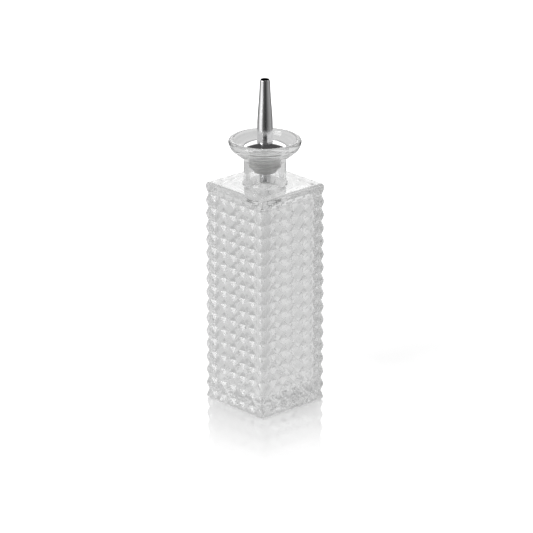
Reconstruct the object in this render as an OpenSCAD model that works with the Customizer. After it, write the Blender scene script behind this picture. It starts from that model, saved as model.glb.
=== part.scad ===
// Square bitters bottle of pressed glass with a push-in dasher pourer.
// Millimetres. The origin is the middle of the base, +Z runs up through the neck.

/* [Body] */
// Width of the square body, across two flat faces
body_w = 40; // [36:0.5:52]
// Height of the body, from the base to the shoulder
body_h = 109.5; // [90:0.5:130]
// Radius of the four upright edges
corner_r = 0.9; // [0.6:0.1:1.6]
// Radius of the edge round the base
heel_r = 1.2; // [0.6:0.1:1.8]
// Radius of the edge round the shoulder
crown_r = 1.5; // [0.6:0.1:2.2]
// Thickness of the glass behind the flat lands
wall = 3.6; // [3:0.1:4.5]
// Thickness of the glass floor
floor_t = 8; // [5:0.5:12]
// Thickness of the glass above the inside, at the shoulder
shoulder_t = 4; // [3:0.1:6]
// Radius of the rounded inner edges
inner_r = 4; // [2:0.1:6]
// Diameter of the round hollow under the base
punt_d = 26; // [20:0.5:30]
// Height of the hollow under the base
punt_h = 1.6; // [0.8:0.1:2.4]

/* [Diamond dimples] */
// Diamond columns across one face
dimple_cols = 6; // [4:1:8]
// Depth of a dimple at its middle
dimple_depth = 1.3; // [0.8:0.05:1.6]
// Flat glass left between the tips of two dimples
dimple_gap = 0.4; // [0.3:0.05:0.8]
// Plain band below the lowest dimples
band_low = 1.3; // [1:0.1:4]
// Plain band above the highest dimples
band_high = 2.6; // [2:0.1:6]

/* [Neck and lip] */
// Outer diameter of the neck
neck_d = 20.1; // [19:0.1:22]
// Bore of the neck, which the plug fits
bore_d = 15.5; // [14:0.1:16.5]
// Fillet between the neck and the shoulder
neck_fillet = 1.2; // [0.6:0.1:2]
// Height of the lip above the shoulder
lip_h = 21.85; // [19:0.1:28]
// Outer diameter of the lip
lip_d = 34.6; // [33:0.1:38]
// Thickness of the glass of the lip
lip_t = 2.9; // [2.4:0.1:3.2]
// Outer radius of the bowl's round side
bowl_r = 6.5; // [6:0.1:7.5]
// Angle between the upright and the cone under the bowl
bowl_angle = 51; // [45:1:56]
// Chamfer at the mouth of the bore
mouth_chamfer = 0.5; // [0.2:0.1:0.8]

/* [Plug] */
// Diameter of the plug between its ribs
plug_d = 13.6; // [12:0.1:14]
// Length of the plug below its collar
plug_len = 11.5; // [9:0.1:13.5]
// Diameter of the plug's lower end
plug_tip_d = 10.4; // [9:0.1:11.5]
// Length of the tapered lower end
plug_taper = 2.6; // [1.5:0.1:3.5]
// Number of sealing ribs
rib_n = 3; // [2:1:3]
// Distance from one rib to the next
rib_pitch = 2.9; // [2.4:0.1:3]
// Thickness of a rib at its edge
rib_t = 0.6; // [0.4:0.05:1]
// Diameter of the collar that rests in the bowl
collar_d = 18.2; // [17.6:0.1:19]
// Thickness of the collar
collar_t = 0.7; // [0.5:0.05:1.2]
// Clearance all round between the ribs and the bore
plug_fit = 0.05; // [0.02:0.01:0.1]

/* [Dasher] */
// Diameter of the domed flange
flange_d = 19.75; // [19.3:0.05:20.5]
// Height of the flange's upright edge
flange_edge = 0.45; // [0.3:0.05:0.8]
// Rise of the dome from its edge to the spout
flange_rise = 1.75; // [1:0.05:2.5]
// Height of the spout above the flange
spout_h = 30.6; // [26:0.1:38]
// Diameter of the spout below its taper
spout_d = 7.4; // [7:0.1:8.4]
// Diameter of the spout at its mouth
tip_d = 5.04; // [4.9:0.02:6]
// Height above the flange where the taper starts
taper_from = 7.2; // [6:0.1:10]
// Straight length below the mouth
tip_len = 1.2; // [0.8:0.1:3]
// Channel through the spout
channel_d = 4; // [3.4:0.1:4]
// Height of the foot ring round the spout
foot_h = 0.5; // [0.3:0.05:0.8]
// Width of the foot ring beyond the spout
foot_out = 0.22; // [0.1:0.01:0.3]

/* [Stem and restrictor] */
// Outer diameter of the stem tube
stem_d = 5; // [4.8:0.1:5.4]
// Wall of the stem tube
stem_wall = 0.6; // [0.4:0.05:0.8]
// Length of the stem below the plug
stem_below = 4.8; // [3:0.1:8]
// Depth of the spout's socket for the stem
socket_depth = 4.8; // [3:0.1:6]
// Running clearance all round the stem in the plug
stem_fit = 0.05; // [0.02:0.01:0.1]
// Clearance all round a pressed joint of the dasher
press_gap = 0.02; // [0.01:0.01:0.03]
// Length of the restrictor inside the stem
insert_len = 4; // [2.5:0.1:6]
// Thickness of the restrictor's head below the stem
insert_head = 0.6; // [0.4:0.05:1]
// Diameter of the dash hole
dash_hole_d = 1.1; // [0.8:0.05:1.6]

/* [Hidden] */
$fn = 64;
eps = 0.05;

// Pattern of the dimples, fitted to the body
pitch_u = body_w / dimple_cols;
pattern_h = body_h - band_low - band_high;
dimple_rows = round(pattern_h / pitch_u);
pitch_v = pattern_h / dimple_rows;
half_u = (pitch_u - dimple_gap) / 2;
half_v = (pitch_v - dimple_gap) / 2;

// Lip and bowl: one centre serves the outer and the inner round side
neck_r = neck_d / 2;
lip_top = body_h + lip_h;
bead_r = lip_t / 2;
bead_z = lip_top - bead_r;
bowl_c = [lip_d / 2 - bowl_r, bead_z + 0.6];
bowl_in_r = bowl_r - lip_t;
bowl_floor = bowl_c[1] - bowl_in_r;
bead_x = bowl_c[0] + sqrt(pow(bowl_r, 2) - pow(bowl_c[1] - bead_z, 2)) - bead_r;
tangent_x = bowl_c[0] + bowl_r * cos(bowl_angle);
tangent_z = bowl_c[1] - bowl_r * sin(bowl_angle);
cone_z = tangent_z - (tangent_x - neck_r) / tan(bowl_angle);

// Inside of the body
inner_w = body_w - 2 * wall;
inner_top = body_h - shoulder_t;

// Heights of the stack on the bowl's floor
collar_top = bowl_floor + collar_t;
flange_top = collar_top + flange_edge + flange_rise;
spout_top = flange_top + spout_h;
plug_end = bowl_floor - plug_len;
stem_end = plug_end - stem_below;
stem_top = flange_top + socket_depth;
foot_r = spout_d / 2 + foot_out;
stem_bore = stem_d - 2 * stem_wall;

// Square with rounded corners, made of true arcs
module rounded_square(side, r) {
  square([side, side - 2 * r], center = true);
  square([side - 2 * r, side], center = true);
  for (x = [-1, 1], y = [-1, 1])
    translate([x * (side / 2 - r), y * (side / 2 - r)]) circle(r);
}

// Side view of a block from z0 to z1, with other radii below and above
module block_outline(side, z0, z1, r_low, r_high) {
  translate([-side / 2, z0 + r_low]) square([side, z1 - z0 - r_low - r_high]);
  translate([r_low - side / 2, z0]) square([side - 2 * r_low, (z1 - z0) / 2]);
  translate([r_high - side / 2, (z0 + z1) / 2])
    square([side - 2 * r_high, (z1 - z0) / 2]);
  for (s = [-1, 1]) {
    translate([s * (side / 2 - r_low), z0 + r_low]) circle(r_low);
    translate([s * (side / 2 - r_high), z1 - r_high]) circle(r_high);
  }
}

// Square block whose edges are all rounded: the same outline from three sides
module rounded_block(side, z0, z1, r_side, r_low, r_high) {
  intersection() {
    translate([0, 0, z0 - 1]) linear_extrude(z1 - z0 + 2) rounded_square(side, r_side);
    for (turn = [0, 90])
      rotate([0, 0, turn]) rotate([90, 0, 0])
        linear_extrude(side + 2, center = true)
          block_outline(side, z0, z1, r_low, r_high);
  }
}

// One diamond pit, cut into a face that looks along -Y
module dimple() {
  grow = 1 + eps / dimple_depth;
  u = half_u * grow;
  v = half_v * grow;
  polyhedron(
    points = [[u, -eps, 0], [0, -eps, v], [-u, -eps, 0], [0, -eps, -v], [0, dimple_depth, 0]],
    faces = [[1, 0, 3, 2], [0, 1, 4], [3, 0, 4], [2, 3, 4], [1, 2, 4]]
  );
}

// All pits of one face. Half of each outer pit lies beyond the upright edge
module face_dimples() {
  for (row = [0 : dimple_rows - 1], col = [0 : dimple_cols])
    translate([
      col * pitch_u - body_w / 2,
      -body_w / 2,
      band_low + (row + 0.5) * pitch_v
    ]) dimple();
}

// Half section of the neck and the bowl-shaped lip, solid to the axis below the bowl
module neck_outline() {
  // Fillet to the shoulder
  difference() {
    translate([0, body_h - shoulder_t / 2])
      square([neck_r + neck_fillet, neck_fillet + shoulder_t / 2]);
    translate([neck_r + neck_fillet, body_h + neck_fillet - eps]) circle(neck_fillet);
  }
  // Neck, started inside the body, with the cone and the round side of the bowl
  difference() {
    union() {
      translate([0, body_h - shoulder_t / 2])
        square([neck_r, tangent_z - body_h + shoulder_t / 2]);
      polygon([
        [0, cone_z], [neck_r, cone_z], [tangent_x, tangent_z],
        [bowl_c[0], bowl_c[1]], [bowl_c[0], bead_z], [0, bead_z]
      ]);
      intersection() {
        translate(bowl_c) circle(bowl_r);
        translate([bowl_c[0] - 1, tangent_z]) square([bowl_r + 2, bead_z - tangent_z]);
      }
    }
    bowl_hollow();
  }
  // Rounded rim
  translate([bead_x, bead_z]) circle(bead_r);
}

// Half section of the hollow of the bowl
module bowl_hollow() {
  translate([0, bowl_floor]) square([bowl_c[0], lip_top - bowl_floor + 1]);
  intersection() {
    translate(bowl_c) circle(bowl_in_r);
    translate([bowl_c[0] - 1, bowl_floor]) square([bowl_in_r + 2, bowl_c[1] - bowl_floor]);
  }
}

// Half section of the bore, from the inside of the body to the bowl's floor
module bore_outline() {
  translate([0, inner_top - 1]) square([bore_d / 2, bowl_floor - inner_top + 2]);
  polygon([
    [0, bowl_floor - mouth_chamfer],
    [bore_d / 2, bowl_floor - mouth_chamfer],
    [bore_d / 2 + mouth_chamfer + eps, bowl_floor + eps],
    [0, bowl_floor + eps]
  ]);
}

module bottle() {
  color([0.86, 0.92, 0.92, 0.5]) difference() {
    union() {
      difference() {
        rounded_block(body_w, 0, body_h, corner_r, heel_r, crown_r);
        for (turn = [0 : 90 : 270]) rotate([0, 0, turn]) face_dimples();
      }
      rotate_extrude() neck_outline();
    }
    rounded_block(inner_w, floor_t, inner_top, inner_r, inner_r, inner_r);
    rotate_extrude() bore_outline();
    // Shallow hollow under the base, part of a large ball
    punt_ball_r = (pow(punt_d / 2, 2) + pow(punt_h, 2)) / (2 * punt_h);
    translate([0, 0, punt_h - punt_ball_r]) sphere(punt_ball_r, $fn = 96);
  }
}

// Half section of one sealing rib, sloped below so that it slides in. It starts deep inside
// the plug, so that the lowest rib grows out of the tapered end as well
module rib_outline(z) {
  rib_r = bore_d / 2 - plug_fit;
  root_r = plug_tip_d / 2;
  polygon([
    [root_r, max(plug_end, z - rib_t / 2 - (rib_r - root_r))],
    [rib_r, z - rib_t / 2],
    [rib_r, z + rib_t / 2],
    [plug_d / 2, z + rib_t],
    [root_r, z + rib_t]
  ]);
}

module plug() {
  color([0.93, 0.93, 0.9, 0.85]) difference() {
    rotate_extrude() {
      translate([0, bowl_floor]) square([collar_d / 2, collar_t]);
      translate([0, plug_end + plug_taper])
        square([plug_d / 2, plug_len - plug_taper + collar_t / 2]);
      polygon([
        [0, plug_end], [plug_tip_d / 2, plug_end],
        [plug_d / 2, plug_end + plug_taper], [0, plug_end + plug_taper]
      ]);
      for (i = [0 : rib_n - 1]) rib_outline(bowl_floor - 2.3 - i * rib_pitch);
    }
    translate([0, 0, plug_end - 1]) cylinder(d = stem_d + 2 * stem_fit, h = plug_len + collar_t + 2);
  }
}

module stem() {
  color([0.75, 0.76, 0.78]) difference() {
    translate([0, 0, stem_end]) cylinder(d = stem_d, h = stem_top - stem_end);
    translate([0, 0, stem_end - 1]) cylinder(d = stem_bore, h = stem_top - stem_end + 2);
  }
}

module flange() {
  edge_r = flange_d / 2;
  edge_z = collar_top + flange_edge;
  // Ball through the edge and the foot of the spout
  ball_z = (pow(flange_top, 2) - pow(edge_z, 2) + pow(foot_r, 2) - pow(edge_r, 2))
    / (2 * (flange_top - edge_z));
  ball_r = sqrt(pow(edge_r, 2) + pow(edge_z - ball_z, 2));
  color([0.82, 0.83, 0.85]) difference() {
    rotate_extrude() {
      translate([0, collar_top]) square([edge_r, flange_edge]);
      intersection() {
        translate([0, ball_z]) circle(ball_r, $fn = 256);
        translate([0, collar_top]) square([edge_r, flange_top - collar_top]);
      }
    }
    translate([0, 0, collar_top - 1])
      cylinder(d = stem_d + 2 * press_gap, h = flange_top - collar_top + 2);
  }
}

// Smooth step from 0 to 1, level at both ends
function ease(t) = t * t * (3 - 2 * t);

module spout() {
  base_r = spout_d / 2;
  tip_r = tip_d / 2;
  lip_r = (tip_r - channel_d / 2) / 2;
  steps = 12;
  taper = [
    for (i = [0 : steps])
      let (t = i / steps)
      [
        base_r + (tip_r - base_r) * ease(t),
        flange_top + taper_from + (spout_h - taper_from - tip_len) * t
      ]
  ];
  color([0.7, 0.71, 0.73]) difference() {
    rotate_extrude() {
      polygon(concat(
        [[0, flange_top], [base_r, flange_top]],
        taper,
        [[tip_r, spout_top - lip_r], [0, spout_top - lip_r]]
      ));
      // Rounded edge of the mouth
      translate([tip_r - lip_r, spout_top - lip_r]) circle(lip_r);
      // Foot ring with a rounded edge
      translate([0, flange_top]) square([foot_r - foot_h / 2, foot_h]);
      translate([foot_r - foot_h / 2, flange_top + foot_h / 2]) circle(foot_h / 2);
    }
    translate([0, 0, flange_top - 1]) cylinder(d = channel_d, h = spout_h + 2);
    translate([0, 0, flange_top - 1])
      cylinder(d = stem_d + 2 * press_gap, h = socket_depth + 1 + press_gap);
  }
}

module dash_insert() {
  color([0.9, 0.9, 0.88]) difference() {
    union() {
      translate([0, 0, stem_end]) cylinder(d = stem_bore - 2 * press_gap, h = insert_len);
      translate([0, 0, stem_end - insert_head]) cylinder(d = stem_d, h = insert_head);
    }
    translate([0, 0, stem_end - insert_head - 1])
      cylinder(d = dash_hole_d, h = insert_len + insert_head + 2);
  }
}

bottle();
plug();
stem();
flange();
spout();
dash_insert();
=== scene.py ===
# %% [markdown]
# # A bitters bottle of pressed glass with a steel dasher
#
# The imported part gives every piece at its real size, in metres, with the base on z = 0. This lesson
# keeps those pieces where they are and gives them their looks: clear glass with pressed diamonds, a
# brushed steel spout on a polished flange, and a soft milky plug seen through the neck.

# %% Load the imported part
import math

import bpy
import numpy as np
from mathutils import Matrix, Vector


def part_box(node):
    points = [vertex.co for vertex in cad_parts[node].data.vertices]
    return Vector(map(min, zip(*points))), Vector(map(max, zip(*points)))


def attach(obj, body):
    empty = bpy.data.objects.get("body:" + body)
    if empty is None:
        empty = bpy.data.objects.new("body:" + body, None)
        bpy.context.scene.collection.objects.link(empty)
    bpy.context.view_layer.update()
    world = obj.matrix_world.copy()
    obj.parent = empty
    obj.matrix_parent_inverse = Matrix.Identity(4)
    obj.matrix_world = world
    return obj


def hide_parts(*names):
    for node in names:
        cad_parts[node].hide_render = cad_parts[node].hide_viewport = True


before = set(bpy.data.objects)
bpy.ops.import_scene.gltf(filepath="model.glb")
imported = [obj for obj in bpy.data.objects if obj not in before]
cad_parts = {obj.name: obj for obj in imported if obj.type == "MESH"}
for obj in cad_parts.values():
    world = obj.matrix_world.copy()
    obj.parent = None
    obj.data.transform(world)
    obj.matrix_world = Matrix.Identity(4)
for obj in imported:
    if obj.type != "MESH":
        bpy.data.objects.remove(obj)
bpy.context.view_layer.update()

MM = 0.001
for name in sorted(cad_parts):
    low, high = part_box(name)
    print(name, "from", [round(v / MM, 1) for v in low], "to", [round(v / MM, 1) for v in high])

# %% [markdown]
# ## Shader maths as plain expressions
#
# A material is a net of nodes. Wiring each node by hand hides what it computes, so one small class
# wraps a socket and gives it the usual operators. An expression such as `1 - mask * 0.4` then adds
# the Math nodes by itself. Numbers alone stay in Python.

# %% A socket that takes part in arithmetic
class Wire:
    def __init__(self, tree, socket):
        self.tree = tree
        self.socket = socket

    def node(self, kind, settings=None, out=0, **sockets):
        made = self.tree.nodes.new(kind)
        for key, value in (settings or {}).items():
            if key == "stops":
                ramp = made.color_ramp
                while len(ramp.elements) < len(value):
                    ramp.elements.new(0.5)
                for stop, (place, tone) in zip(ramp.elements, value):
                    stop.position = place
                    stop.color = (tone, tone, tone, 1) if isinstance(tone, (int, float)) else tone
            else:
                setattr(made, key, value)
        for key, value in sockets.items():
            slot = made.inputs[int(key[1:])] if key[0] == "i" and key[1:].isdigit() else made.inputs[key.replace("_", " ")]
            if isinstance(value, Wire):
                self.tree.links.new(value.socket, slot)
            else:
                slot.default_value = value
        return Wire(self.tree, made.outputs[out])

    def math(self, operation, *values):
        names = {f"i{n}": v for n, v in enumerate(values)}
        return self.node("ShaderNodeMath", {"operation": operation}, **names)

    def __add__(self, other):
        return self.math("ADD", self, other)

    __radd__ = __add__

    def __sub__(self, other):
        return self.math("SUBTRACT", self, other)

    def __rsub__(self, other):
        return self.math("SUBTRACT", other, self)

    def __mul__(self, other):
        return self.math("MULTIPLY", self, other)

    __rmul__ = __mul__

    def __truediv__(self, other):
        return self.math("DIVIDE", self, other)

    def fade(self, start, end, low=0.0, high=1.0):
        return self.node(
            "ShaderNodeMapRange", {"interpolation_type": "SMOOTHSTEP"},
            i0=self, i1=start, i2=end, i3=low, i4=high,
        )


def new_material(name):
    material = bpy.data.materials.new(name)
    material.use_nodes = True
    tree = material.node_tree
    tree.nodes.clear()
    output = tree.nodes.new("ShaderNodeOutputMaterial")
    return material, tree, output, Wire(tree, None)


def finish_with(tree, output, shader):
    tree.links.new(shader.socket, output.inputs["Surface"])


# %% [markdown]
# ## Camera
#
# The photograph looks down on the front edge of the bottle from the left. The camera stands far off
# with a long lens, because the upright edges hardly converge in the picture.

# %% Camera at the photograph's angle
VIEW_TURN = math.radians(42.43)
VIEW_RISE = math.radians(20.25)
VIEW_DISTANCE = 2.0
LENS = 284.5
AIM_RIGHT = 0.72 * MM
AIM_HEIGHT = 67.2 * MM

to_camera = Vector((
    -math.sin(VIEW_TURN) * math.cos(VIEW_RISE),
    -math.cos(VIEW_TURN) * math.cos(VIEW_RISE),
    math.sin(VIEW_RISE),
))
picture_right = Vector((math.cos(VIEW_TURN), -math.sin(VIEW_TURN), 0))
toward_viewer = Vector((-math.sin(VIEW_TURN), -math.cos(VIEW_TURN), 0))
aim = picture_right * AIM_RIGHT + Vector((0, 0, AIM_HEIGHT))

camera_data = bpy.data.cameras.new("camera")
camera_data.lens = LENS
camera_data.sensor_width = 36
camera = bpy.data.objects.new("camera", camera_data)
bpy.context.scene.collection.objects.link(camera)
camera.location = aim + to_camera * VIEW_DISTANCE
camera.rotation_mode = "QUATERNION"
camera.rotation_quaternion = (-to_camera).to_track_quat("-Z", "Y")
camera_data.clip_start = 0.05
camera_data.clip_end = 60
bpy.context.scene.camera = camera
print("camera at", [round(v, 3) for v in camera.location])

# %% [markdown]
# ## The glass, as a mesh of its own
#
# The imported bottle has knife-sharp pits, while hot glass leaves a mould with every ridge a little
# rounded, and those soft ridges draw the fine light lines of the pattern. So the bottle is meshed again
# from the same sizes: one grid of rings runs from the middle of the base, up the pressed skin, over the
# lip, down the bore and round the inside, which keeps inner and outer skin in one closed piece.

# %% Sizes of the pressed pattern
HALF_SIDE = 20.0
PITCH = 2 * HALF_SIDE / 6
ROWS = 16
ROW_PITCH = (109.5 - 1.3 - 2.6) / ROWS
FIRST_ROW = 1.3
PIT_DEPTH = 1.3
HALF_U = (PITCH - 0.4) / 2
HALF_V = (ROW_PITCH - 0.4) / 2
EDGE_RADIUS = 0.9
VALLEY_SOFT = 0.08
RIDGE_SOFT = 0.05

# Grid lines of half a pit. They are closer at both ends, and mirrored, so that the pit's slanted
# border always runs through grid points
LINES = np.array([0, 0.07, 0.19, 0.34, 0.5, 0.66, 0.81, 0.93, 1.0])
STEPS = len(LINES) - 1


def pit(across, along_height):
    """Depth of one diamond pit at a distance from its middle, with softened valleys and ridges."""
    slope = 1 - np.hypot(across, VALLEY_SOFT) / HALF_U - np.hypot(along_height, VALLEY_SOFT) / HALF_V
    depth = PIT_DEPTH * slope
    return (depth + np.hypot(depth, RIDGE_SOFT)) / 2


def rounded_meet(a, b, radius):
    """Negative inside both faces, whose depths are a and b, with their shared edge rounded."""
    over = np.hypot(np.maximum(radius - a, 0), np.maximum(radius - b, 0))
    return np.minimum(np.maximum(-a, -b), -radius) + over


def reach(inside_at, far):
    """How far each ray gets before it leaves the glass, by halving."""
    near, far = np.zeros_like(far), far.copy()
    for _ in range(36):
        middle = (near + far) / 2
        inside = inside_at(middle) < 0
        near, far = np.where(inside, middle, near), np.where(inside, far, middle)
    return near


def offset_of(index, half, pitch):
    """Signed distance from a pit's middle to one of its grid lines."""
    if abs(index) > STEPS:
        return math.copysign(pitch / 2, index)
    return math.copysign(LINES[abs(index)] * half, index)


print(ROWS, "rows of pits,", round(ROW_PITCH, 2), "mm apart, and", PITCH, "mm from one column to the next")

# %% [markdown]
# Beside an upright edge, half a pit of one face meets half a pit of the next, and the edge between them
# weaves in and out. That weave is the scalloped outline of the bottle. Rays from the middle of the
# corner find it: each one is halved until it ends on the skin, and the two faces meet there in a small
# radius. All other pits are alike, so their depth comes straight from the formula.

# %% One ring of the pressed skin
def corner_points(row_index, v):
    """Half a pit next to an upright edge: (inset, distance from the edge), from the edge outwards."""
    h = PITCH / 2
    border = max(STEPS - abs(row_index), 0)
    turns = [math.atan2(h - offset_of(j, HALF_U, PITCH), h) for j in range(STEPS + 2)]
    for j in range(border):
        turns[j] = math.pi / 4 + (turns[border] - math.pi / 4) * j / border
    turns = np.array(turns)
    pressed = abs(row_index) <= STEPS
    deep = (lambda w: pit(w, v)) if pressed else (lambda w: 0 * w)

    def inside_at(way):
        a, b = h - way * np.cos(turns), h - way * np.sin(turns)
        return rounded_meet(a - deep(b), b - deep(a), EDGE_RADIUS)

    way = reach(inside_at, np.full(len(turns), 2 * h))
    return h - way * np.cos(turns), h - way * np.sin(turns)


def pressed_ring(z, row_index):
    v = offset_of(row_index, HALF_V, ROW_PITCH)
    pressed = abs(row_index) <= STEPS
    inset, along_face = corner_points(row_index, v)
    insets, places = list(inset), list(along_face)
    for cell in range(1, 6):
        for j in range(-STEPS, STEPS + 2):
            w = offset_of(j, HALF_U, PITCH)
            places.append(cell * PITCH + w)
            insets.append(float(pit(w, v)) if pressed else 0.0)
    # The other upright edge mirrors the first. Its own edge point starts the next face
    insets += list(inset[STEPS:0:-1])
    places += list(2 * HALF_SIDE - along_face[STEPS:0:-1])
    x, y = HALF_SIDE - np.array(insets), np.array(places) - HALF_SIDE
    faces = [(x, y), (-y, x), (-x, -y), (y, -x)]
    return np.array([np.concatenate([f[0] for f in faces]), np.concatenate([f[1] for f in faces]),
                     np.full(4 * len(x), z)]).T


rings = [pressed_ring(FIRST_ROW, STEPS + 1)]
pressed_by_index = {i: pressed_ring(0.0, i) for i in range(-STEPS, STEPS + 2)}
for row in range(ROWS):
    middle = FIRST_ROW + (row + 0.5) * ROW_PITCH
    for i in range(-STEPS, STEPS + 2):
        ring = pressed_by_index[i].copy()
        ring[:, 2] = middle + offset_of(i, HALF_V, ROW_PITCH)
        rings.append(ring)
skin = rings
columns = len(skin[0])
print("pressed skin:", len(skin), "rings of", columns, "points")

# %% [markdown]
# The shoulder, the neck and the inside have no pits, but they carry on with the same columns, so that
# every ring joins the one below it point by point. Each column gets a direction from the axis, and a
# ring is then a distance along it, found by halving for a square and given for a circle.

# %% Plain rings: square ones and round ones, on the same columns
plain = skin[0][:, :2]
ways = plain / np.linalg.norm(plain, axis=1)[:, None]


def square_ring(z, half, radius):
    def inside_at(way):
        a = half - np.abs(ways[:, 0] * way)
        b = half - np.abs(ways[:, 1] * way)
        return rounded_meet(a, b, radius)

    way = reach(inside_at, np.full(columns, 2 * half))
    return np.column_stack([ways * way[:, None], np.full(columns, z)])


def round_ring(z, r):
    return np.column_stack([ways * r, np.full(columns, z)])


def between(first, last, count):
    """Rings spread evenly between two rings, the two left out."""
    return [first + (last - first) * k / (count + 1) for k in range(1, count + 1)]


def arc(centre, radius, start, end, count):
    """(r, z) points along an arc of a half section, angles in degrees."""
    return [
        (centre[0] + radius * math.cos(math.radians(start + (end - start) * k / count)),
         centre[1] + radius * math.sin(math.radians(start + (end - start) * k / count)))
        for k in range(count + 1)
    ]


def round_rings(points):
    return [round_ring(z, r) for r, z in points]


# %% [markdown]
# The bottle stands on a narrow rim round a shallow hollow, as pressed bottles do, since a wide flat base
# would rock. The hollow is part of a large ball. The heel turns up in a quarter circle to the lowest
# plain band.

# %% Base, with its shallow hollow
HEEL, CROWN, TOP = 1.2, 1.5, 109.5
PUNT_R, PUNT_H = 13.0, 1.6
ball = (PUNT_R ** 2 + PUNT_H ** 2) / (2 * PUNT_H)
hollow = []
for k in range(1, 13):
    r = PUNT_R * k / 12
    hollow.append((r, PUNT_H - ball + math.sqrt(ball ** 2 - r ** 2)))
base = round_rings(hollow[:-1]) + round_rings([(12.9, 0.07), (13.15, 0.0), (13.6, 0.0)])
heel = [
    square_ring(HEEL - HEEL * math.sin(q), HALF_SIDE - HEEL + HEEL * math.cos(q), max(EDGE_RADIUS - HEEL * (1 - math.cos(q)) * 0.4, 0.4))
    for q in (math.radians(90 - 15 * k) for k in range(6))
]
base += between(base[-1], heel[0], 3) + heel
print("hollow", PUNT_H, "mm high, part of a ball of", round(ball, 1), "mm radius")

# %% [markdown]
# Neck and lip are one turned shape. A fillet rises from the shoulder into the straight neck, a cone
# leaves it with a soft bend, and the bowl's round side is tangent to the cone. The rim is a bead as
# thick as the wall, and the bowl's inner side has the same centre as its outer one.

# %% Shoulder, neck and lip
crown = [
    square_ring(TOP - CROWN + CROWN * math.sin(q), HALF_SIDE - CROWN + CROWN * math.cos(q), max(EDGE_RADIUS - CROWN * (1 - math.cos(q)) * 0.4, 0.3))
    for q in (math.radians(15 * k) for k in range(7))
]
neck_side = arc((11.25, 110.7), 1.2, 270, 180, 6)
bowl_centre, bowl_turn = (10.8, 130.5), 51
foot_x = bowl_centre[0] + 6.5 * math.cos(math.radians(bowl_turn))
foot_z = bowl_centre[1] - 6.5 * math.sin(math.radians(bowl_turn))
cone_z = foot_z - (foot_x - 10.05) / math.tan(math.radians(bowl_turn))
bend = 2.2 * math.tan(math.radians(bowl_turn / 2))
neck_side += [(10.05, z) for z in (113.0, 116.0, 119.0)]
neck_side += arc((10.05 + 2.2, cone_z - bend), 2.2, 180, 180 - bowl_turn, 6)
neck_side += [(foot_x - 1.5 * math.sin(math.radians(bowl_turn)), foot_z - 1.5 * math.cos(math.radians(bowl_turn)))]
neck_side += arc(bowl_centre, 6.5, -bowl_turn, -5.3, 10)
neck_side += arc((15.822, 129.9), 1.45, 6, 174, 18)
neck_side += arc(bowl_centre, 3.6, -12, -88, 10)
neck_side += [(10.4, 126.9), (9.2, 126.9), (8.45, 126.9)]
neck_side += arc((8.45, 126.2), 0.7, 90, 180, 5)[1:]
neck_side += [(7.75, z) for z in (124.0, 121.0, 118.0, 115.0, 112.0, 109.0, 106.6)]
shoulder_ring = round_ring(TOP, 11.4)
upper_rings = crown + between(crown[-1], shoulder_ring, 5) + round_rings(neck_side)

print("neck and lip:", len(neck_side), "rings, up to", round(max(z for _, z in neck_side), 2), "mm")

# %% [markdown]
# The inside is a plain room with round corners, blown rather than pressed. Nothing of the pattern shows on
# it, so it needs few rings. Its floor is thick, which gives the bottle its weight and the bright
# foot.

# %% Inside of the body
INNER_HALF, INNER_R, INNER_FLOOR, INNER_TOP = 16.4, 4.0, 8.0, 105.5
inner_mouth = round_rings(arc((8.55, 106.3), 0.8, 180, 270, 5))
corner_turns = [math.radians(11.25 * k) for k in range(9)]
inner_roof = [
    square_ring(INNER_TOP - INNER_R * (1 - math.cos(q)), INNER_HALF - INNER_R * (1 - math.sin(q)), max(INNER_R * math.sin(q), 0.3))
    for q in corner_turns
]
inner_walls = [square_ring(z, INNER_HALF, INNER_R) for z in np.linspace(INNER_TOP - INNER_R, INNER_FLOOR + INNER_R, 40)[1:-1]]
inner_floor = [
    square_ring(INNER_FLOOR + INNER_R * (1 - math.sin(q)), INNER_HALF - INNER_R * (1 - math.cos(q)), max(INNER_R * math.cos(q), 0.3))
    for q in corner_turns
]
inner_end = round_ring(INNER_FLOOR, 1.0)
inside = inner_mouth + between(inner_mouth[-1], inner_roof[0], 4) + inner_roof + inner_walls
inside += inner_floor + between(inner_floor[-1], inner_end, 6) + [inner_end]

print("walls of", HALF_SIDE - INNER_HALF, "mm and a floor of", INNER_FLOOR, "mm")

# %% [markdown]
# Neighbouring rings are joined by two triangles to a square. Inside a pit, the cut runs along the
# slanted border, so each facet ends in a straight line and not in teeth. Facets keep a crisp edge where
# they meet at more than 26 degrees, and everything flatter is shaded smooth.

# %% Join the rings
all_rings = base + skin + upper_rings + inside
points = np.concatenate(all_rings + [[[0, 0, PUNT_H]], [[0, 0, INNER_FLOOR]]])
ring_start = np.arange(len(all_rings)) * columns
this, after = np.arange(columns), (np.arange(columns) + 1) % columns
first_skin = len(base)

# In a pit, each small square is split along the slant of the pit's border
cell = 2 * (STEPS + 1)
local_column = (np.arange(columns) + STEPS + 1) % cell
column_side = local_column < STEPS + 1
triangles = []
for r in range(len(all_rings) - 1):
    a, b = ring_start[r] + this, ring_start[r] + after
    c, d = ring_start[r + 1] + after, ring_start[r + 1] + this
    row_side = ((r - first_skin) % cell) < STEPS + 1
    rising = column_side != row_side
    triangles.append(np.where(rising[:, None], np.column_stack([a, b, c]), np.column_stack([a, b, d])))
    triangles.append(np.where(rising[:, None], np.column_stack([a, c, d]), np.column_stack([b, c, d])))
low_middle, high_middle = len(points) - 2, len(points) - 1
triangles.append(np.column_stack([np.full(columns, low_middle), after, this]))
last = ring_start[-1]
triangles.append(np.column_stack([last + this, last + after, np.full(columns, high_middle)]))
smooth_from = 2 * columns * (len(base) + len(skin) + len(crown) - 1)
triangles = np.concatenate(triangles)

corners = points[triangles]
spans = np.cross(corners[:, 1] - corners[:, 0], corners[:, 2] - corners[:, 0])

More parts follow.
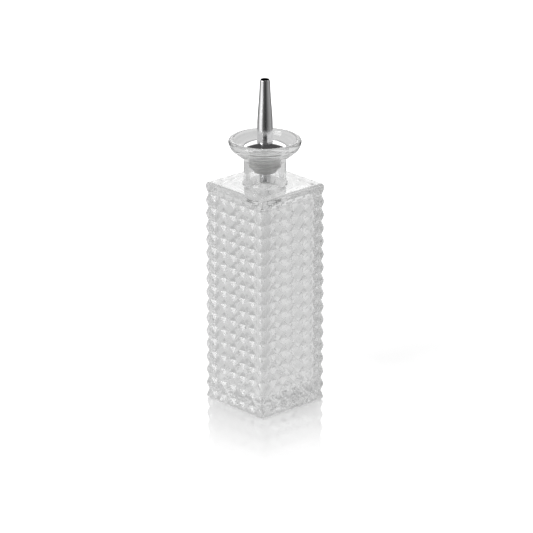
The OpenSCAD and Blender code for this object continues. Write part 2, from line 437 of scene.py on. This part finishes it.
glass_mesh = bpy.data.meshes.new("pressed_bottle")
glass_mesh.from_pydata((points * MM).tolist(), [], triangles.tolist())
glass_mesh.polygons.foreach_set("use_smooth", [True] * len(triangles))
glass_mesh.set_sharp_from_angle(angle=math.radians(26))
pressed_bottle = bpy.data.objects.new("pressed_bottle", glass_mesh)
bpy.context.scene.collection.objects.link(pressed_bottle)
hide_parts("bottle")
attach(pressed_bottle, "bottle")
volume = float(np.einsum("ij,ij->i", corners[:, 0], spans).sum()) / 6
print("pressed bottle:", len(points), "points,", len(triangles), "triangles, volume", round(volume), "mm3")

# %% [markdown]
# ## Glass
#
# Clear glass shows only what it bends and mirrors, so its material is simple: full transmission, the
# index of soda glass and a trace of green. Pressed glass isn't perfectly flat: its skin ripples a
# little where the mould chilled it, and the same skin spreads a lamp's light over a whole facet. That
# is a rough coat, and it lies on the outside only. The lip was reheated in a flame, which makes it clear.

# %% Pressed glass and smooth glass
def glass(name, ripple_scale, ripple_depth, sheen):
    """sheen adds the faintly rippled outer skin that a mould leaves, on the outside only."""
    material, tree, output, n = new_material(name)
    place = n.node("ShaderNodeTexCoord", out=3)
    ripple = n.node("ShaderNodeTexNoise", i0=place, Scale=ripple_scale, Detail=1.0)
    skin = n.node("ShaderNodeBump", Strength=0.06, Distance=ripple_depth, Height=ripple)
    outside = 1 - n.node("ShaderNodeNewGeometry", out=6)
    clear = n.node(
        "ShaderNodeBsdfPrincipled",
        Base_Color=(0.983, 0.985, 0.984, 1), Roughness=0.0, IOR=1.5, Transmission_Weight=1.0, Normal=skin,
        Specular_Tint=(0.15, 0.15, 0.15, 1) if sheen else (1, 1, 1, 1),
        Coat_Weight=outside if sheen else 0.0, Coat_Roughness=0.28, Coat_IOR=1.6,
    )
    finish_with(tree, output, clear)
    return material


pressed_glass = glass("clear_glass", 220.0, 0.0004, True)
smooth_glass = glass("clear_glass_smooth", 160.0, 0.0006, False)
print("glass:", pressed_glass.name, "and", smooth_glass.name)

# %% [markdown]
# ## Steel and plastic
#
# The spout is brushed round its axis, so its grain is noise stretched into rings, which blurs the
# mirrored room up and down. The flange is polished and has almost no grain. The stem is a drawn tube,
# duller and darker. The bore of the spout gets no light, so its wall is given painted shade: near black
# a little inside the mouth's edge. Both plastics have a cloudy finish that varies from place to place.

# %% Steel and plastic
def steel(name, tone, roughness, grain_scale=(1, 1, 1), grain=0.0, painted_shade_radius=0.0):
    """The last argument is the radius of a hole whose wall gets painted shade, near black, since no light reaches
    it.
    """
    material, tree, output, n = new_material(name)
    place = n.node("ShaderNodeTexCoord", out=3)
    stretched = n.node("ShaderNodeMapping", i0=place, Scale=grain_scale)
    lines = n.node("ShaderNodeTexNoise", i0=stretched, Scale=1.0, Detail=3.0)
    rough = lines.fade(0.3, 0.7, roughness * 0.7, roughness * 1.4)
    skin = n.node("ShaderNodeBump", Strength=grain, Distance=0.00005, Height=lines)
    colour = (tone, tone, tone * 1.01, 1)
    if painted_shade_radius:
        # Painted shade: inside the given radius the wall of the bore is coloured near black, standing in for the
        # dark where no light reaches
        flat = n.node("ShaderNodeVectorMath", {"operation": "MULTIPLY"}, i0=place, i1=(1, 1, 0))
        radius = n.node("ShaderNodeVectorMath", {"operation": "LENGTH"}, out=1, i0=flat)
        outer = radius.fade(painted_shade_radius + 0.04 * MM, painted_shade_radius + 0.14 * MM)
        colour = n.node(
            "ShaderNodeMix", {"data_type": "RGBA"}, out=2,
            i0=outer, i6=(0.03, 0.03, 0.03, 1), i7=(tone, tone, tone * 1.01, 1),
        )
    metal = n.node(
        "ShaderNodeBsdfPrincipled", Base_Color=colour, Metallic=1.0, Roughness=rough, Normal=skin,
    )
    finish_with(tree, output, metal)
    return material


def milky_plastic():
    material, tree, output, n = new_material("plug_plastic")
    place = n.node("ShaderNodeTexCoord", out=3)
    cloud = n.node("ShaderNodeTexNoise", i0=place, Scale=600.0, Detail=2.0)
    rough = cloud.fade(0.3, 0.7, 0.2, 0.3)
    soft = n.node(
        "ShaderNodeBsdfPrincipled",
        Base_Color=(0.9, 0.9, 0.89, 1), Roughness=rough, IOR=1.35, Transmission_Weight=0.05,
    )
    finish_with(tree, output, soft)
    return material


def matt_plastic():
    material, tree, output, n = new_material("insert_plastic")
    place = n.node("ShaderNodeTexCoord", out=3)
    cloud = n.node("ShaderNodeTexNoise", i0=place, Scale=900.0, Detail=2.0)
    rough = cloud.fade(0.3, 0.7, 0.45, 0.6)
    plain = n.node("ShaderNodeBsdfPrincipled", Base_Color=(0.86, 0.86, 0.84, 1), Roughness=rough)
    finish_with(tree, output, plain)
    return material


# %% Each piece gets its material
looks = {
    "bottle": pressed_glass,
    "spout": steel("brushed_spout", 0.88, 0.14, (300, 300, 9000), 0.2, 2.0 * MM),
    "flange": steel("polished_flange", 0.9, 0.03, (400, 400, 400), 0.0),
    "stem": steel("stem_steel", 0.66, 0.18, (300, 300, 4000), 0.1),
    "plug": milky_plastic(),
    "dash_insert": matt_plastic(),
}
shown = dict(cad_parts, bottle=pressed_bottle)
for name, look in looks.items():
    node = shown[name]
    node.data.materials.clear()
    node.data.materials.append(look)
    node.data.polygons.foreach_set("material_index", [0] * len(node.data.polygons))
# Above the crown and inside, the glass is fire polished or blown, and so smoother
glass_mesh.materials.append(smooth_glass)
glass_mesh.polygons.foreach_set("material_index", [int(k >= smooth_from) for k in range(len(triangles))])
print("materials:", sorted(looks))

# %% [markdown]
# ## Floor
#
# In the photograph the bottle stands on a glossy white sheet. Close to the foot it mirrors the bottle, and
# the mirror image fades out over a few centimetres. The floor here does the same for what the camera
# sees: a mirror near the foot, pale paint with the bottle's shadow farther out.
#
# Glass and metal would also show the floor as a bright or dark half of the room, with a hard edge at
# the horizon. Rays that come from them pass through it and see the room by direction alone. Two patches
# stay: what glass mirrors at a flat angle lands on a pale table close by, which keeps its outline light.

# %% Floor
FLOOR_HALF = 4.0
floor_mesh = bpy.data.meshes.new("floor")
floor_mesh.from_pydata(
    [(-FLOOR_HALF, -FLOOR_HALF, 0), (FLOOR_HALF, -FLOOR_HALF, 0), (FLOOR_HALF, FLOOR_HALF, 0), (-FLOOR_HALF, FLOOR_HALF, 0)],
    [], [(0, 1, 2, 3)],
)
floor = bpy.data.objects.new("floor", floor_mesh)
bpy.context.scene.collection.objects.link(floor)
floor.location.z = -0.0001


def light_path(tree):
    path = tree.nodes.new("ShaderNodeLightPath")
    return [Wire(tree, path.outputs[f"Is {kind} Ray"]) for kind in ("Camera", "Glossy", "Transmission")]


def along(n, place, direction):
    return n.node("ShaderNodeVectorMath", {"operation": "DOT_PRODUCT"}, out=1, i0=place, i1=tuple(direction))


def glow(n, strength):
    return n.node("ShaderNodeEmission", i0=(1, 1, 1, 1), i1=strength)


def blend_of(n, factor, first, second):
    return n.node("ShaderNodeMixShader", i0=factor, i1=first, i2=second)


# The room's tones as metal mirrors them, below eye level. The stops run from behind, over the left,
# the front and the right, to behind again
ROOM_TONES = [
    (0.0, 0.2), (0.125, 0.26), (0.205, 0.3), (0.24, 0.65), (0.268, 1.0), (0.352, 1.0), (0.375, 0.6),
    (0.4, 0.25), (0.435, 0.11), (0.49, 0.045), (0.54, 0.045), (0.586, 0.1), (0.636, 0.21), (0.692, 0.3),
    (0.753, 0.35), (0.833, 0.25), (0.917, 0.14), (1.0, 0.2),
]


def tone_around(n, right, front):
    turn = n.math("ARCTAN2", right, front) * (0.5 / math.pi) + 0.5
    return n.node("ShaderNodeValToRGB", {"stops": ROOM_TONES}, i0=turn)


def floor_material():
    """Pale paint that mirrors the bottle's foot a little. Mirrored and bent rays go on to the room."""
    material, tree, output, n = new_material("pale_floor")
    seen, mirrored, through = light_path(tree)
    place = n.node("ShaderNodeTexCoord", out=3)
    right = along(n, place, picture_right)
    front = along(n, place, toward_viewer)
    mirror_share = (n.math("ABSOLUTE", front) + n.math("ABSOLUTE", right) * 0.95).fade(0.02, 0.11, 0.42, 0.0)
    paint = n.node("ShaderNodeBsdfDiffuse", i0=(0.8, 0.8, 0.8, 1))
    sheen = n.node("ShaderNodeBsdfGlossy", i0=(1, 1, 1, 1), i1=0.03)
    far = n.node("ShaderNodeVectorMath", {"operation": "LENGTH"}, out=1, i0=place)
    # Away from the lamps the paint alone would look grey, so its glow grows with the distance
    pale = n.node("ShaderNodeAddShader", i0=glow(n, far.fade(0.1, 0.4, 0.36, 0.95)), i1=paint)
    for_camera = blend_of(n, mirror_share, pale, sheen)
    onward = n.node("ShaderNodeBsdfTransparent", i0=(1, 1, 1, 1))
    ahead = far + n.math("MAXIMUM", front, 0.0) * 0.7
    table = blend_of(n, ahead.fade(0.31, 0.345), glow(n, 0.72), onward)
    # The body sends some rays back to the viewer's side. They land close by, on the pale table
    close_by = far.fade(0.2, 0.25, 1.0, 0.0) * front.fade(0.03, 0.08)
    past_glass = blend_of(n, close_by, onward, glow(n, 0.6))
    whole = blend_of(n, through, blend_of(n, mirrored, paint, table), past_glass)
    finish_with(tree, output, blend_of(n, seen, whole, for_camera))
    return material


floor_mesh.materials.append(floor_material())

# %% [markdown]
# ## The room
#
# Behind the bottle, the camera sees plain white. A bottle of clear glass would vanish in front of it, so
# the rays that have gone through glass see an even grey, lighter from above and from below and a little lighter
# at the right than at the left, and the facets differ because each bends its rays another way. Metal needs more
# contrast: it mirrors a white wall behind, a bright panel at the left, grey at the right and the dark side where
# the viewer stands, which gives the spout its stripes.

# %% World: the room, by direction
def mixed(n, factor, first, second):
    return n.node("ShaderNodeMix", {"data_type": "FLOAT"}, i0=factor, i2=first, i3=second)


def seen_as(n, tone):
    return n.node("ShaderNodeBackground", i0=tone, i1=1.0)


world = bpy.data.worlds.new("studio")
bpy.context.scene.world = world
world.use_nodes = True
world_tree = world.node_tree
world_tree.nodes.clear()
n = Wire(world_tree, None)
seen, mirrored, through = light_path(world_tree)
look_way = n.node("ShaderNodeTexCoord", out=0)
right = along(n, look_way, picture_right)
front = along(n, look_way, toward_viewer)
up = along(n, look_way, (0, 0, 1))

backdrop = front.fade(-0.86, -0.8, 1.0, 0.0) * up.fade(0.5, 0.58, 1.0, 0.0)
sides = n.math("ABSOLUTE", right).fade(0.6, 0.8) * up.fade(0.35, 0.6, 1.0, 0.0)
low_wall = front.fade(-0.2, 0.1, 1.0, 0.0) * up.fade(-0.2, -0.14) * up.fade(0.22, 0.34, 1.0, 0.0)
above = n.math("MAXIMUM", mixed(n, backdrop, 0.08, 1.0), sides * 0.75)
below = tone_around(n, right, front)
metal_tone = n.math("MAXIMUM", mixed(n, up.fade(-0.06, 0.02), below, above), low_wall * 0.85)
glass_tone = up.fade(-0.6, 0.15, 0.71, 0.44) + right.fade(-0.35, 0.35, -0.06, 0.06)
glass_tone = glass_tone + up.fade(0.25, 0.5, 0.0, 0.3)
# The viewer's side is dark. The spout mirrors it through the bowl of the lip
viewer_side = front.fade(0.72, 0.84) * up.fade(-0.6, -0.5) * up.fade(-0.22, -0.14, 1.0, 0.0)
glass_tone = mixed(n, viewer_side, glass_tone, below)
bent = blend_of(n, through, seen_as(n, metal_tone), seen_as(n, glass_tone))
whole = blend_of(n, n.math("MAXIMUM", mirrored, through), seen_as(n, (0.45, 0.45, 0.45, 1)), bent)
whole = blend_of(n, seen, whole, seen_as(n, (1, 1, 1, 1)))
world_out = world_tree.nodes.new("ShaderNodeOutputWorld")
finish_with(world_tree, world_out, whole)

print("room tones for metal:", len(ROOM_TONES), "stops round the horizon")

# %% [markdown]
# ## Soft boxes
#
# One large box at the left of the viewer lights the left face. Its height is chosen so that the lower
# left facet of each pit mirrors it: these are the bright triangles. A box above and a weak one at the right
# light the plug and the floor, and one behind puts a soft shine on the shoulder. None of them is
# seen through the glass, where a lamp would burn out the facets.

# %% Soft boxes
def soft_box(name, turn, rise, distance, width, height, radiance, mirrored=False):
    """turn is counted from the viewer, positive to the right."""
    t, e = math.radians(turn), math.radians(rise)
    flat = toward_viewer * math.cos(t) + picture_right * math.sin(t)
    spot = flat * (distance * math.cos(e)) + Vector((0, 0, distance * math.sin(e)))
    data = bpy.data.lights.new(name, "AREA")
    data.shape = "RECTANGLE"
    data.size, data.size_y = width, height
    data.energy = radiance * math.pi * width * height
    lamp = bpy.data.objects.new(name, data)
    bpy.context.scene.collection.objects.link(lamp)
    lamp.location = spot + Vector((0, 0, 0.07))
    lamp.rotation_mode = "QUATERNION"
    lamp.rotation_quaternion = (-spot).to_track_quat("-Z", "Y")
    lamp.visible_glossy = mirrored
    lamp.visible_transmission = False
    print(name, "radiance", radiance, "power", round(data.energy, 1))
    return lamp


soft_box("key_left", -50, 19, 1.2, 0.6, 0.85, 4.5, True)
soft_box("top", 180, 78, 1.2, 0.7, 0.7, 3.0)
soft_box("fill_right", 75, 25, 1.3, 0.4, 0.8, 1.5)
soft_box("back", 180, 22, 1.3, 0.9, 0.35, 1.25, True)

# %% [markdown]
# ## View settings and finish
#
# A ray crosses the skin of this bottle many times, so it needs more bounces than usual, or the glass
# gets black spots.

# %% View settings
scene = bpy.context.scene
scene.view_settings.view_transform = "Standard"
scene.cycles.max_bounces = 32
scene.cycles.transmission_bounces = 32
scene.cycles.glossy_bounces = 13
scene.cycles.transparent_max_bounces = 16
scene.cycles.caustics_refractive = True
scene.cycles.caustics_reflective = True

print("up to", scene.cycles.transmission_bounces, "crossings of the glass for each ray")
